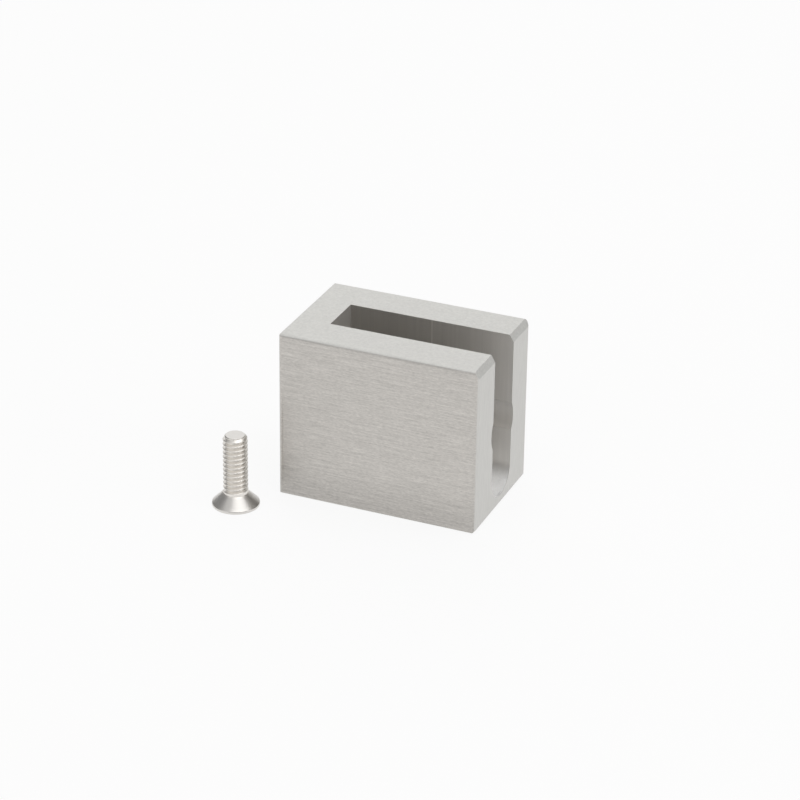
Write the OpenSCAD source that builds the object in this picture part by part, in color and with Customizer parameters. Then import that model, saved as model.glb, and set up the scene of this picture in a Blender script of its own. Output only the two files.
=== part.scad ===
// Glass panel clamp: a solid block with a glass slot, and its loose countersunk fixing screw.
// The slot is open at the top and at one end; the screw goes through the closed end wall.
// Origin: centre of the block's underside, +X towards the open end, +Z up.

/* [Block] */
// Length of the block, from the closed end to the open end
block_length = 35; // [30:0.5:50]
// Width of the block over both cheeks
block_width = 22.5; // [19:0.5:32]
// Height of the block
block_height = 29.1; // [24:0.1:40]
// Radius on the outer edges of the block
edge_radius = 0.6; // [0.3:0.1:1]
// Radius on the two upright edges of the closed end
closed_end_radius = 1; // [0.3:0.1:2]
// Chamfer on the top edge of the open end, measured along the top
chamfer_along = 0.7; // [0.6:0.1:1.6]
// Chamfer on the top edge of the open end, measured down the end
chamfer_down = 1.2; // [0.7:0.1:2]
// Chamfer on the bottom edge of the open end
foot_chamfer = 0.7; // [0.6:0.1:1.4]

/* [Glass slot] */
// Width of the slot, for the glass and its lining
slot_width = 8.2; // [6:0.1:9]
// Thickness of the closed end wall
end_wall = 6.2; // [5:0.1:8]
// Thickness left under the round bottom of the slot
floor_thickness = 2; // [1.5:0.1:4]

/* [Screw hole] */
// Clearance between the screw's thread and its hole, on the diameter
hole_clearance = 0.4; // [0.1:0.05:0.8]
// Clearance between the screw's head and its countersink, on the diameter
sink_clearance = 0.4; // [0.2:0.1:0.8]
// Clearance between the screw's head and the relief bore that lets it in, on the diameter
relief_clearance = 1.7; // [0.6:0.1:2.2]

/* [Screw] */
// Outside diameter of the thread
thread_diameter = 4.1; // [3.9:0.05:4.3]
// Pitch of the thread
thread_pitch = 0.79; // [0.7:0.01:0.85]
// Length of the screw over its head
screw_length = 12.7; // [10:0.1:20]
// Diameter of the head
head_diameter = 7.9; // [7.4:0.1:8.4]
// Full angle of the head's cone
head_angle = 90; // [82:1:100]
// Height of the head's straight rim
rim_height = 0.4; // [0.2:0.05:0.7]
// Width of the hexagon socket across its flats
socket_width = 2.4; // [2:0.1:2.8]
// Depth of the hexagon socket
socket_depth = 1.4; // [1:0.1:1.7]

/* [Loose screw] */
// How far the screw's axis stands beyond the closed end
screw_beyond_end = 4.8; // [4.5:0.1:20]
// How far the screw's axis stands in front of the block
screw_in_front = 6.1; // [4.5:0.1:20]

/* [Hidden] */
$fn = 64;
over = 1;                 // how far a cut runs past the face it opens
columns = 32;             // thread points around one turn
run_out_turns = 0.3;      // turns over which the thread fades in under the head
neck_margin = 0.03;       // how far the cone's narrow end stands outside the thread
thread_lead_in = 0.2;     // how far inside the cone the thread starts
sink_margin = 0.1;        // depth of the rim's sink beyond the rim itself

slot_radius = slot_width / 2;
slot_length = block_length - end_wall;
wall_face = end_wall - block_length / 2;
axis_height = block_height / 2;
hole_diameter = thread_diameter + hole_clearance;
sink_diameter = head_diameter + sink_clearance;
relief_diameter = head_diameter + relief_clearance;

thread_radius = thread_diameter / 2;
thread_depth = 0.6134 * thread_pitch;        // 60 degree unified thread
flank = thread_depth * tan(30);
crest = thread_pitch / 8;
root = thread_pitch - crest - 2 * flank;
neck_radius = thread_radius + neck_margin;
cone_height = (head_diameter / 2 - neck_radius) / tan(head_angle / 2);
head_height = rim_height + cone_height;
thread_start = head_height - thread_lead_in;
shank_start = thread_start - thread_lead_in;
thread_turns = ceil((screw_length - thread_start) / thread_pitch) + 1;
shank_end = thread_start + (thread_turns + 1) * thread_pitch;
column_points = 4 * thread_turns + 2;

// A rectangle with true round corners, centred on the origin: one radius at -X, one at +X
module round_rect(x, y, left, right) {
    for (s = [-1, 1]) {
        translate([left - x / 2, s * (y / 2 - left)]) circle(left);
        translate([x / 2 - right, s * (y / 2 - right)]) circle(right);
    }
    polygon([[left - x / 2, -y / 2], [x / 2 - right, -y / 2], [x / 2, right - y / 2],
             [x / 2, y / 2 - right], [x / 2 - right, y / 2], [left - x / 2, y / 2],
             [-x / 2, y / 2 - left], [-x / 2, left - y / 2]]);
}

// The plain block: three round-cornered bars crossing at right angles
module round_block(x, y, z, r, closed_r) {
    translate([0, 0, z / 2]) intersection() {
        linear_extrude(z, center = true) round_rect(x, y, closed_r, r);
        rotate([90, 0, 0]) linear_extrude(y, center = true) round_rect(x, z, r, r);
        rotate([90, 0, 90]) linear_extrude(x, center = true) round_rect(y, z, r, r);
    }
}

// A cylinder along X from the given place
module rod_x(from, length, d1, d2) {
    translate([from, 0, axis_height]) rotate([0, 90, 0]) cylinder(h = length, d1 = d1, d2 = d2);
}

// The slot for the glass: straight cheeks over a half-round bottom
module glass_slot() {
    bottom = floor_thickness + slot_radius;
    translate([wall_face, 0, bottom]) rotate([90, 0, 90]) linear_extrude(slot_length + over) {
        circle(slot_radius);
        translate([-slot_radius, 0]) square([slot_width, block_height - bottom + over]);
    }
}

// The hole for the screw, its countersink and the relief bore that the head passes through
module screw_way() {
    rim_sink = rim_height + sink_margin;
    sink_depth = (sink_diameter - hole_diameter) / 2 / tan(head_angle / 2);
    rod_x(-block_length / 2 - over, end_wall + over, hole_diameter, hole_diameter);
    rod_x(wall_face - rim_sink - sink_depth, sink_depth, hole_diameter, sink_diameter);
    rod_x(wall_face - rim_sink, rim_sink + over, sink_diameter, sink_diameter);
    rod_x(wall_face, slot_length + over, relief_diameter, relief_diameter);
}

// A cut that chamfers an upper edge along Y, standing on that edge
module edge_chamfer(along, down) {
    rotate([90, 0, 0]) linear_extrude(block_width + 2 * over, center = true)
        polygon([[-along, 0], [0, -down], [over, -down], [over, over], [-along, over]]);
}

// The chamfers across both cheeks, at the top and bottom of the open end
module end_chamfers() {
    translate([block_length / 2, 0, block_height]) edge_chamfer(chamfer_along, chamfer_down);
    translate([block_length / 2, 0, 0]) mirror([0, 0, 1]) edge_chamfer(foot_chamfer, foot_chamfer);
}

module clamp_block() {
    color([0.73, 0.72, 0.70]) difference() {
        round_block(block_length, block_width, block_height, edge_radius, closed_end_radius);
        glass_slot();
        screw_way();
        end_chamfers();
    }
}

// One groove of the thread as [radius, height] points, at a number of turns from its start
function groove(turns) =
    let (depth = thread_depth * min(1, turns / run_out_turns),
         z = thread_start + turns * thread_pitch)
    [[thread_radius, z], [thread_radius - depth, z + flank],
     [thread_radius - depth, z + flank + root], [thread_radius, z + 2 * flank + root]];

// All points of one upright column of the threaded shank, from its foot to its end
function column(part) =
    concat([[thread_radius, shank_start]],
           [for (n = [0 : thread_turns - 1]) each groove(n + part)],
           [[thread_radius, shank_end]]);

// The threaded shank as one skin: columns of points, joined one pitch higher after each turn
module threaded_shank() {
    last = columns - 1;
    top = column_points - 1;
    foot_centre = columns * column_points;
    end_centre = foot_centre + 1;
    function at(c, p) = c * column_points + p;
    function quad(a, b, c, d) = [[a, b, c], [a, c, d]];
    points = concat(
        [for (c = [0 : last], p = column(c / columns))
            [p[0] * cos(360 * c / columns), p[0] * sin(360 * c / columns), p[1]]],
        [[0, 0, shank_start], [0, 0, shank_end]]);
    sides = [for (c = [0 : last - 1], p = [0 : top - 1])
        each quad(at(c, p), at(c, p + 1), at(c + 1, p + 1), at(c + 1, p))];
    seam = concat(
        [for (p = [0 : 4]) [at(last, 0), at(0, p + 1), at(0, p)]],
        [[at(last, 0), at(last, 1), at(0, 5)]],
        [for (p = [1 : top - 5]) each quad(at(last, p), at(last, p + 1), at(0, p + 5), at(0, p + 4))],
        [for (p = [top - 4 : top - 1]) [at(last, p), at(last, p + 1), at(0, top)]]);
    caps = [for (c = [0 : last]) let (next = (c + 1) % columns)
        each [[foot_centre, at(c, 0), at(next, 0)], [end_centre, at(next, top), at(c, top)]]];
    polyhedron(points, concat(sides, seam, caps));
}

// Everything below the screw's chamfered tip
module tip_envelope() {
    tip_radius = thread_radius - thread_depth;
    wide = thread_radius + over;
    rotate_extrude() polygon([[0, 0], [wide, 0], [wide, screw_length - (wide - tip_radius)],
                              [tip_radius, screw_length], [0, screw_length]]);
}

// The head: a straight rim, a cone and a hexagon socket in its flat face
module screw_head() {
    difference() {
        rotate_extrude() polygon([[0, 0], [head_diameter / 2, 0], [head_diameter / 2, rim_height],
                                  [neck_radius, head_height], [0, head_height]]);
        translate([0, 0, -over]) linear_extrude(socket_depth + over)
            circle(d = socket_width / cos(30), $fn = 6);
    }
}

// The loose screw, standing on its head beside the closed end
module fixing_screw() {
    color([0.82, 0.81, 0.79])
        translate([-block_length / 2 - screw_beyond_end, -block_width / 2 - screw_in_front, 0]) {
            screw_head();
            intersection() {
                threaded_shank();
                tip_envelope();
            }
        }
}

clamp_block();
fixing_screw();
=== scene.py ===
import math

import bpy
import numpy as np
from mathutils import Matrix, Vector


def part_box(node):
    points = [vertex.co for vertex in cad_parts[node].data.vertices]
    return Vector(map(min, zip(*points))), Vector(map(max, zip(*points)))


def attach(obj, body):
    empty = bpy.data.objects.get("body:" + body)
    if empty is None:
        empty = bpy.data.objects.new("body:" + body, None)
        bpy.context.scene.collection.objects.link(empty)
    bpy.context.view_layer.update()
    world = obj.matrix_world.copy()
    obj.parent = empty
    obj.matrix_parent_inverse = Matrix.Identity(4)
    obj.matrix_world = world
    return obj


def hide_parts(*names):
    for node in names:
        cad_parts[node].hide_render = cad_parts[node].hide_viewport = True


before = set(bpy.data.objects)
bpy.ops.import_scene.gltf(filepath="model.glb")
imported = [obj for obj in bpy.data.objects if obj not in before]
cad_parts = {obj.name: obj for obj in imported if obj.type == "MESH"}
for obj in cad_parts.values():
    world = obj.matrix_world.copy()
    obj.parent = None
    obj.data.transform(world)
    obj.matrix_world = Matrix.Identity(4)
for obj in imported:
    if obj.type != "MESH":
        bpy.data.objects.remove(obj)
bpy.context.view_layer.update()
millimetre = 0.001

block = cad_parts["clamp_block"]
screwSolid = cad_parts["fixing_screw"]
blockLow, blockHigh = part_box("clamp_block")
screwLow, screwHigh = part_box("fixing_screw")


# One output of a node, used in plain arithmetic: each sign adds its Math node
class Wire:
    def __init__(self, nodes, socket):
        self.nodes = nodes
        self.socket = socket

    def math(self, operation, *values):
        return self.nodes.add("ShaderNodeMath", {"operation": operation}, dict(enumerate(values)))

    def __add__(self, other):
        return self.math("ADD", self, other)

    def __radd__(self, other):
        return self.math("ADD", other, self)

    def __sub__(self, other):
        return self.math("SUBTRACT", self, other)

    def __rsub__(self, other):
        return self.math("SUBTRACT", other, self)

    def __mul__(self, other):
        return self.math("MULTIPLY", self, other)

    def __rmul__(self, other):
        return self.math("MULTIPLY", other, self)

    def __gt__(self, other):
        return self.math("GREATER_THAN", self, other)

    def __lt__(self, other):
        return self.math("LESS_THAN", self, other)

    def __abs__(self):
        return self.math("ABSOLUTE", self)


# The nodes of a material or a world, which starts without any
class Nodes:
    def __init__(self, owner):
        owner.use_nodes = True
        self.tree = owner.node_tree
        self.tree.nodes.clear()

    # Adds a node: its settings first, then a value or a wire for each named or numbered socket
    def add(self, kind, settings, values, output=0):
        node = self.tree.nodes.new(kind)
        for name, setting in settings.items():
            setattr(node, name, setting)
        for name, value in values.items():
            if isinstance(value, Wire):
                self.tree.links.new(value.socket, node.inputs[name])
            else:
                node.inputs[name].default_value = value
        return Wire(self, node.outputs[output]) if node.outputs else None


# The three parts of a vector
def parts(wire):
    return [wire.nodes.add("ShaderNodeSeparateXYZ", {}, {0: wire}, output=axis) for axis in "XYZ"]


# A number eased from 0 to 1 as a wire goes from one value to another
def ease(wire, start, end):
    return wire.nodes.add("ShaderNodeMapRange", {"interpolation_type": "SMOOTHSTEP"},
                          {"Value": wire, "From Min": start, "From Max": end})


# Two numbers mixed by a factor; a Mix node's names repeat, so its sockets go by number
def mixValue(factor, first, second):
    return factor.nodes.add("ShaderNodeMix", {}, {0: factor, 2: first, 3: second})


# Two colours mixed by a factor
def mixColour(factor, first, second):
    first, second = [c if isinstance(c, Wire) else (*c, 1.0) for c in (first, second)]
    return factor.nodes.add("ShaderNodeMix", {"data_type": "RGBA"},
                            {0: factor, 6: first, 7: second}, output=2)


# A colour made lighter or darker by a number
def shade(colour, amount):
    return amount.nodes.add("ShaderNodeVectorMath", {"operation": "SCALE"},
                            {0: colour, "Scale": amount})


# Noise round 0, with so many marks per millimetre along each axis
def grain(place, marks, detail, seed):
    moved = place.nodes.add("ShaderNodeMapping", {}, {
        "Vector": place, "Location": (seed, seed * 0.7, seed * 1.3),
        "Scale": tuple(m / millimetre for m in marks)})
    return place.nodes.add("ShaderNodeTexNoise", {"noise_dimensions": "3D"}, {
        "Vector": moved, "Scale": 1.0, "Detail": detail, "Roughness": 0.6}) - 0.5


# Bare steel with a fine relief; spread widens its sheen sideways, as upright cuts do
def steel(colour, roughness, relief, depth, spread=0.0, metallic=1.0):
    nodes = relief.nodes
    bump = nodes.add("ShaderNodeBump", {}, {"Strength": 1.0, "Distance": depth, "Height": relief})
    return nodes.add("ShaderNodeBsdfPrincipled", {}, {
        "Base Color": colour, "Metallic": metallic, "Roughness": roughness,
        "Anisotropic": spread, "Normal": bump})


def dress(thing, material):
    thing.data.materials.clear()
    thing.data.materials.append(material)


blockShape = {                 # in millimetres, as the solid block has them
    "slotWidth": 8.2,
    "endWall": 6.2,
    "floorThickness": 2.0,
    "reliefDiameter": 9.6,
}

blockFinish = {
    # Each face's colour is set to give its tone under these lamps, so besides the finish it holds painted
    # light and shade: the cheeks' darker and the top's lighter colour are partly painted
    "cheekColour": (0.583, 0.560, 0.530),    # brushed along the block
    "topColour": (0.738, 0.732, 0.706),      # matt ground top and underside
    "endColour": (0.632, 0.625, 0.603),      # brushed upwards
    "chamferColour": (0.700, 0.695, 0.674),
    "wallColour": (0.718, 0.698, 0.668),     # milled walls of the slot
    "bottomColour": (0.980, 0.977, 0.967),   # rough round bottom of the slot, near white: partly painted light, lighter than the steel is, standing in for the light it takes in at the open end
    "cheekRoughness": 0.42,
    "topRoughness": 0.55,
    "endRoughness": 0.45,
    "chamferRoughness": 0.75,
    "wallRoughness": 0.58,
    "boreRoughness": 0.75,                   # where the relief bore cuts the walls
    "bottomRoughness": 0.95,
    "bottomMetallic": 0.0,
    "wallSpread": 0.75,                      # how much wider the walls' sheen is across their cuts
    "longGrain": (0.17, 4.2, 4.2),           # marks per millimetre along x, y and z
    "shortGrain": (2.0, 6.5, 6.5),
    "endGrain": (3.0, 3.0, 0.35),
    "groundGrain": (2.2, 2.2, 2.2),
    "wallCuts": (2.4, 0.3, 0.05),
    "cheekContrast": 0.52,                   # how much the grain changes the colour
    "endContrast": 0.20,
    "groundContrast": 0.30,
    "wallContrast": 0.14,
    "grainRoughness": 0.06,                  # how much the long grain changes the roughness
    "grainDepth": 0.004,                     # millimetres
    "borePaintedShade": 0.5,                        # painted light and shade: how much lighter the bore grows as it turns upwards, evening out its tone
    "boreEven": -0.12,                       # the upward turn at which its shade is the walls' own
    "closedPaintedShade": 0.24,                     # painted shade: how much darker the slot's closed end is, deep in the slot
    "footPaintedShade": 0.145,                      # painted shade: how much darker the cheeks grow at their foot, as where they mirror the shadowed floor
    "footHeights": (9.0, 0.5),               # millimetres, from where they start to the full shade
    "lipPaintedShade": 0.20,                        # painted shade: how much darker the slot's lowest edge is, as a dark reflection of the room in a small edge there
    "lipReach": (0.55, 0.30),                # millimetres from the open end
    "wallLineShade": 0.20,                      # thin lighter upright lines on the slot's walls
    "wallLinePlaces": (6.1, 20.7),              # millimetres from the closed end
    "wallLineWidths": (0.20, 0.05),             # millimetres, where they fade in and are full
}


# The block's faces are told apart by where they lie and which way they face: each mask is 1 on
# its own faces and 0 elsewhere
def makeBlockFinish(shape, finish):
    material = bpy.data.materials.new("satin_steel")
    nodes = Nodes(material)
    place = nodes.add("ShaderNodeTexCoord", {}, {}, output="Object")
    facing = nodes.add("ShaderNodeTexCoord", {}, {}, output="Normal")
    x, y, z = parts(place)
    nx, ny, nz = parts(facing)
    skin = 0.05 * millimetre
    slotHalf = shape["slotWidth"] / 2 * millimetre
    cutHalf = shape["reliefDiameter"] / 2 * millimetre + 2 * skin
    wallFace = blockLow.x + shape["endWall"] * millimetre
    slotFloor = shape["floorThickness"] * millimetre
    holeHeight = (blockLow.z + blockHigh.z) / 2

    isTop = ease(abs(nz), 0.6, 0.9)
    isCheek = ease(abs(ny), 0.6, 0.9)
    isChamfer = (nx > 0.4) * (nz > 0.3)
    isOutside = (z > blockHigh.z - skin) + (x > blockHigh.x - skin) + (x < blockLow.x + skin)
    isOutside = isOutside + isChamfer
    isCut = (x > wallFace - skin) * (z > slotFloor - skin) + (abs(z - holeHeight) < cutHalf)
    inSlot = (abs(y) < cutHalf) * (isCut > 0.5) * (isOutside < 0.5)
    isWall = inSlot * (1.0 - ease(nz, 0.05, 0.80) * (z < slotFloor + slotHalf))
    inBore = abs(y) > slotHalf + 0.1 * skin

    # Painted shade: a dark crescent along the slot's lowest edge, near the open end
    lipStart, lipEnd = [blockHigh.x - reach * millimetre for reach in finish["lipReach"]]
    paintedLip = ease(x, lipStart, lipEnd) * ease(nz, 0.96, 0.99)
    # Painted shade: the cheeks grow darker towards their foot
    paintedFootShade = ease(z, *[height * millimetre for height in finish["footHeights"]])
    # Thin lighter upright lines on the slot's walls, at places measured from the closed end
    widths = [width * millimetre for width in finish["wallLineWidths"]]
    wallLines = sum(ease(abs(x - (blockLow.x + p * millimetre)), *widths) for p in finish["wallLinePlaces"])

    along = grain(place, finish["longGrain"], detail=2.0, seed=3.1)
    cheek = along + grain(place, finish["shortGrain"], detail=2.0, seed=8.2)
    upward = grain(place, finish["endGrain"], detail=3.0, seed=5.7)
    ground = grain(place, finish["groundGrain"], detail=4.0, seed=1.9)
    cuts = grain(place, finish["wallCuts"], detail=2.0, seed=6.4)

    groundShade = 1.0 + ground * finish["groundContrast"]
    cheekShade = 1.0 + cheek * finish["cheekContrast"] - paintedFootShade * finish["footPaintedShade"]
    bottomShade = groundShade - paintedLip * finish["lipPaintedShade"]
    colour = shade(finish["endColour"], 1.0 + upward * finish["endContrast"])
    colour = mixColour(isCheek, colour, shade(finish["cheekColour"], cheekShade))
    colour = mixColour(isTop, colour, shade(finish["topColour"], groundShade))
    colour = mixColour(isChamfer, colour, shade(finish["chamferColour"], groundShade))
    colour = mixColour(inSlot, colour, shade(finish["bottomColour"], bottomShade))
    cheekRoughness = finish["cheekRoughness"] + along * finish["grainRoughness"]
    roughness = mixValue(isCheek, finish["endRoughness"], cheekRoughness)
    roughness = mixValue(isTop, roughness, finish["topRoughness"])
    roughness = mixValue(isChamfer, roughness, finish["chamferRoughness"])
    roughness = mixValue(inSlot, roughness, finish["bottomRoughness"])
    relief = mixValue(isTop, mixValue(isCheek, upward, cheek), ground)
    metallic = mixValue(inSlot, 1.0, finish["bottomMetallic"])
    depth = finish["grainDepth"] * millimetre
    outer = steel(colour, roughness, relief, depth, metallic=metallic)

    wallShade = 1.0 + cuts * finish["wallContrast"] + wallLines * finish["wallLineShade"]
    # Painted light and shade on the relief bore: lighter where it faces up, darker where it faces down
    wallShade = wallShade + inBore * (nz - finish["boreEven"]) * finish["borePaintedShade"]
    # Painted shade on the slot's closed end, deep in the recess
    wallShade = wallShade - (nx > 0.5) * finish["closedPaintedShade"]
    roughness = mixValue(inBore, finish["wallRoughness"], finish["boreRoughness"])
    walls = steel(shade(finish["wallColour"], wallShade), roughness, cuts, depth, finish["wallSpread"])

    surface = nodes.add("ShaderNodeMixShader", {}, {0: isWall, 1: outer, 2: walls})
    nodes.add("ShaderNodeOutputMaterial", {}, {"Surface": surface})
    return material


dress(block, makeBlockFinish(blockShape, blockFinish))
print("block finished")


screwFinish = {
    # The thread is lighter than the head partly for its rolled finish and partly as painted light against
    # the shade in its grooves
    "threadColour": (0.840, 0.810, 0.768),
    "headColour": (0.740, 0.720, 0.690),     # the head's and the flat tip's
    "threadFoot": (1.9, 2.2),                # millimetres up, between which one gives way to the other
    "tipDepths": (0.02, 0.1),                # millimetres below the tip, between which it does again
    "roughness": 0.31,
    "turning": (1.2, 1.2, 9.0),              # marks per millimetre along x, y and z
    "turningContrast": 0.08,                 # how much they change the colour
    "turningRoughness": 0.06,                # and the roughness
    "turningDepth": 0.0015,                  # millimetres
}

screwShape = {                 # in millimetres, as the solid screw has them
    "threadDiameter": 4.1,
    "pitch": 0.79,
    "threadDepth": 0.6134,     # times the pitch
    "crestWidth": 0.125,       # times the pitch
    "threadStart": 2.0695,     # height at which the first groove starts
    "runOutTurns": 0.3,
    "neckDiameter": 4.16,
    "rimHeight": 0.4,
    "socketWidth": 2.4,
    "socketDepth": 1.4,
    "edge": 0.08,              # roundness of the head's edges
    "step": 0.02,              # how far the rings beside the socket's sharp corners lie from them
    "sharpAngle": 38,          # degrees between faces, past which an edge shows sharp
    "cornerShare": 0.12,       # share of a flank over which the thread's corners are round
    "columns": 120,            # points round one turn
    "rowsPerTurn": 24,
}


def makeScrewFinish(finish):
    material = bpy.data.materials.new("bright_steel")
    nodes = Nodes(material)
    place = nodes.add("ShaderNodeTexCoord", {}, {}, output="Object")
    z = parts(place)[2]
    turning = grain(place, finish["turning"], detail=3.0, seed=2.3)
    tipStart, tipEnd = [screwHigh.z - depth * millimetre for depth in finish["tipDepths"]]
    isThread = ease(z, *[height * millimetre for height in finish["threadFoot"]])
    isThread = isThread * ease(z, tipStart, tipEnd)
    colour = mixColour(isThread, finish["headColour"], finish["threadColour"])
    colour = shade(colour, 1.0 + turning * finish["turningContrast"])
    roughness = finish["roughness"] + turning * finish["turningRoughness"]
    shader = steel(colour, roughness, turning, finish["turningDepth"] * millimetre)
    nodes.add("ShaderNodeOutputMaterial", {}, {"Surface": shader})
    return material


# A rise from 0 to 1 as x does, with both of its corners rounded over a reach
def roundedRise(x, reach):
    area = [np.where(v < 0, 0, np.where(v < 1, v * v / 2, v - 0.5)) for v in (x + reach, x - reach)]
    return (area[0] - area[1]) / (2 * reach)


# Radius of the thread: r = R - depth * (down the first flank, along the root, up the second flank)
def threadRadius(shape, turn, height):
    pitch = shape["pitch"]
    depth = shape["threadDepth"] * pitch
    flank = depth * math.tan(math.radians(30))
    root = pitch * (1 - shape["crestWidth"]) - 2 * flank
    along = (height - shape["threadStart"]) / pitch - turn
    count = np.floor(along)
    inGroove = (along - count) * pitch
    reach = shape["cornerShare"]
    groove = roundedRise(inGroove / flank, reach) - roundedRise((inGroove - flank - root) / flank, reach)
    runOut = np.clip((count + turn) / shape["runOutTurns"], 0, 1)
    return shape["threadDiameter"] / 2 - depth * groove * runOut


# Numbers one below the other, one for each ring
def upright(*numbers):
    return np.array(numbers, float)[:, None]


# The screw's skin as rings of (radius, height), from its tip down to its socket: radius is
# the thread's r(turn, height) within the tip's 45 degree cone, then the head's profile, and in
# the socket the hexagon's r = half its width / cos(angle from the middle of the nearest flat)
def screwRings(shape, turn):
    length = (screwHigh.z - screwLow.z) / millimetre
    head = (screwHigh.x - screwLow.x) / 2 / millimetre
    neck = shape["neckDiameter"] / 2
    rim = shape["rimHeight"]
    neckHeight = rim + head - neck                                # the cone rises at 45 degrees
    tip = shape["threadDiameter"] / 2 - shape["threadDepth"] * shape["pitch"]
    edge = shape["edge"]
    step = shape["step"]
    depth = shape["socketDepth"]

    rows = round((length - neckHeight) / shape["pitch"] * shape["rowsPerTurn"])
    down = np.linspace(length - 0.01, neckHeight, rows)[:, None]
    cone = upright(0, 0.05, 0.25, 0.5, 0.75, 0.95)
    bend = np.radians(upright(30, 60, 90))
    hexagon = shape["socketWidth"] / 2 / np.cos(math.pi / 6 - np.radians(turn * 360 % 60))
    rings = [
        (tip * upright(0.3, 0.6, 0.9, 0.97), length),
        (np.minimum(threadRadius(shape, turn, down), tip + length - down), down),
        (neck + (head - neck) * cone, neckHeight + (rim - neckHeight) * cone),
        (head - edge * upright(0.1, 0, 0, 0), upright(rim + edge * 0.25, rim - edge * 0.2, rim / 2, edge)),
        (head - edge * (1 - np.cos(bend)), edge * (1 - np.sin(bend))),
        (hexagon + (head - hexagon) * upright(0.6, 0.2, 0.02), 0.0),
        (hexagon * upright(1, 1, 0.97, 0.5), upright(step, depth - step, depth, depth)),
    ]
    spread = [np.broadcast_arrays(radius, height, turn)[:2] for radius, height in rings]
    return np.concatenate([np.stack(pair, -1) for pair in spread])


# Turns the rings into one closed skin: x = r cos(a), y = r sin(a) round the screw's axis
def makeScrew(shape, material):
    columns = shape["columns"]
    turn = np.arange(columns) / columns
    rings = screwRings(shape, turn)
    centre = (screwLow + screwHigh) / 2 / millimetre
    angle = 2 * math.pi * turn
    radius, height = rings[..., 0], rings[..., 1]
    points = np.stack([centre.x + radius * np.cos(angle), centre.y + radius * np.sin(angle), height], -1)
    ends = [(centre.x, centre.y, height[0, 0]), (centre.x, centre.y, height[-1, 0])]
    points = np.vstack([points.reshape(-1, 3), ends]) * millimetre

    row, column = np.meshgrid(np.arange(len(rings) - 1), np.arange(columns), indexing="ij")
    here = row * columns + column
    right = row * columns + (column + 1) % columns
    quads = np.stack([here, here + columns, right + columns, right], -1).reshape(-1, 4)
    tip = np.full(columns, len(points) - 2)
    socket = np.full(columns, len(points) - 1)
    tipFan = np.stack([tip, here[0], right[0]], -1)
    socketFan = np.stack([socket, right[-1] + columns, here[-1] + columns], -1)
    mesh = bpy.data.meshes.new("screw_skin")
    mesh.from_pydata(points.tolist(), [], quads.tolist() + tipFan.tolist() + socketFan.tolist())
    mesh.shade_smooth()
    mesh.set_sharp_from_angle(angle=math.radians(shape["sharpAngle"]))

    screw = bpy.data.objects.new("screw_skin", mesh)
    bpy.context.scene.collection.objects.link(screw)
    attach(screw, "root")
    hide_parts("fixing_screw")
    dress(screw, material)


brightSteel = makeScrewFinish(screwFinish)
dress(screwSolid, brightSteel)
makeScrew(screwShape, brightSteel)
print("screw made and finished")


stage = {
    "floorReach": 3.0,                       # metres each way
    "floorColour": (1.0, 1.0, 0.995),
    "floorWhite": 0.87,                      # share of the floor that shows plain white
    "floorMirrored": 0.75,                   # the same share as the steel mirrors it
    "worldTop": 0.75,                        # light from overhead
    "worldHorizon": 0.26,                    # darker room round the table
    "worldRise": (0.60, 0.95),               # sines of the heights between which it grows lighter
}


# The floor is lit and takes the shadow, and shows mostly plain white to the camera and the steel
def makeFloor(stage):
    reach = stage["floorReach"]
    corners = np.array([[-1, -1, 0], [1, -1, 0], [1, 1, 0], [-1, 1, 0]], float) * reach
    mesh = bpy.data.meshes.new("floor")
    mesh.from_pydata(corners.tolist(), [], [(0, 1, 2, 3)])
    floor = bpy.data.objects.new("floor", mesh)
    bpy.context.scene.collection.objects.link(floor)
    material = bpy.data.materials.new("pale_floor")
    nodes = Nodes(material)
    lit = nodes.add("ShaderNodeBsdfDiffuse", {}, {"Color": (*stage["floorColour"], 1.0)})
    white = nodes.add("ShaderNodeEmission", {}, {"Color": (1.0, 1.0, 1.0, 1.0), "Strength": 1.0})
    rays = ["Is Camera Ray", "Is Glossy Ray", "Is Transmission Ray"]
    direct, glossy, through = [nodes.add("ShaderNodeLightPath", {}, {}, output=ray) for ray in rays]
    seen = direct * stage["floorWhite"] + (glossy + through) * stage["floorMirrored"]
    surface = nodes.add("ShaderNodeMixShader", {}, {0: seen, 1: lit, 2: white})
    nodes.add("ShaderNodeOutputMaterial", {}, {"Surface": surface})
    dress(floor, material)


# The world is lighter overhead than round the sides; in a world, Generated is the direction seen
def makeWorld(stage):
    world = bpy.data.worlds.new("studio")
    nodes = Nodes(world)
    direction = nodes.add("ShaderNodeTexCoord", {}, {}, output="Generated")
    rise = parts(direction)[2]
    tone = mixValue(ease(rise, *stage["worldRise"]), stage["worldHorizon"], stage["worldTop"])
    light = nodes.add("ShaderNodeBackground", {}, {"Color": (1.0, 1.0, 1.0, 1.0), "Strength": tone})
    nodes.add("ShaderNodeOutputWorld", {}, {"Surface": light})
    bpy.context.scene.world = world


lamps = {                      # places and sizes in metres, powers in watts
    "key": {"place": (0.25, -0.08, 0.75), "size": 0.8, "power": 1.85},
    "back": {"place": (-0.36, 0.69, 0.36), "size": 0.9, "power": 1.85},
    "fill": {"place": (-0.45, -0.78, 0.28), "size": 0.9, "power": 1.5},
    "side": {"place": (0.81, 0.07, 0.26), "size": 0.5, "power": 1.0},
}


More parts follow.
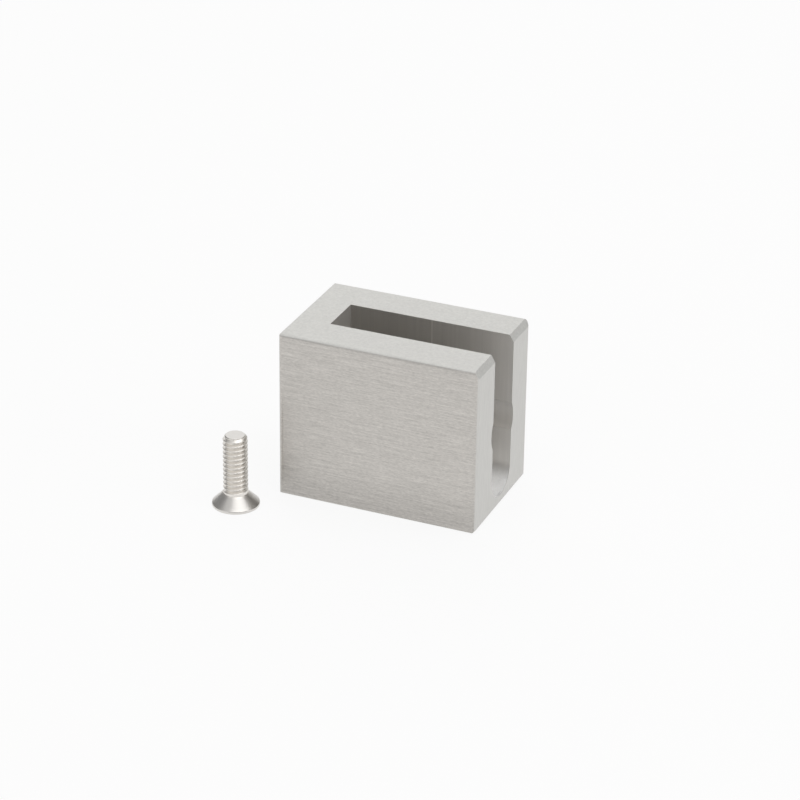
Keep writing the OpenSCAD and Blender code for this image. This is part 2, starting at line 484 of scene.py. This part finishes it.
# Puts an object at a place, its -Z along a direction and its +Y as near as may be to an up direction
def aimAt(thing, place, direction, up):
    back = -direction / np.linalg.norm(direction)
    right = np.cross(up, back)
    right /= np.linalg.norm(right)
    matrix = np.eye(4)
    matrix[:3] = np.stack([right, np.cross(back, right), back, place], -1)
    thing.matrix_world = Matrix(matrix.tolist())


# Each lamp is a square that faces the origin
def makeLamp(name, lamp):
    data = bpy.data.lights.new(name, "AREA")
    data.shape = "SQUARE"
    data.size = lamp["size"]
    data.energy = lamp["power"]
    thing = bpy.data.objects.new(name, data)
    bpy.context.scene.collection.objects.link(thing)
    place = np.array(lamp["place"])
    aimAt(thing, place, -place, np.array([0.0, 1.0, 0.0]))


camera = {
    "azimuth": 22.682,         # degrees round from the front cheek towards the open end
    "elevation": 26.589,       # degrees above the floor
    "roll": 0.774,             # degrees
    "distance": 0.50170,       # metres from the middle of the block
    "lens": 137.26,            # millimetres, on a 36 mm sensor
    "aimRight": -0.000516,     # metres that the view's middle lies right of the block's middle
    "aimUp": 0.001046,         # and above it
}


def makeCamera(camera):
    data = bpy.data.cameras.new("camera")
    data.lens = camera["lens"]
    data.sensor_width = 36.0
    data.clip_start = 0.01
    data.clip_end = 20.0
    thing = bpy.data.objects.new("camera", data)
    bpy.context.scene.collection.objects.link(thing)
    azimuth, elevation, roll = [math.radians(camera[k]) for k in ("azimuth", "elevation", "roll")]
    back = np.array([math.sin(azimuth) * math.cos(elevation),
                     -math.cos(azimuth) * math.cos(elevation), math.sin(elevation)])
    level = np.cross([0.0, 0.0, 1.0], back)
    level /= np.linalg.norm(level)
    plumb = np.cross(back, level)
    right = math.cos(roll) * level + math.sin(roll) * plumb
    up = math.cos(roll) * plumb - math.sin(roll) * level
    middle = (np.array(blockLow) + np.array(blockHigh)) / 2
    aim = middle + right * camera["aimRight"] + up * camera["aimUp"]
    aimAt(thing, aim + back * camera["distance"], -back, up)
    bpy.context.scene.camera = thing


makeFloor(stage)
makeWorld(stage)
for name, lamp in lamps.items():
    makeLamp(name, lamp)
makeCamera(camera)
bpy.context.scene.view_settings.view_transform = "Standard"
print("floor, lamps and camera made")

bpy.context.view_layer.update()
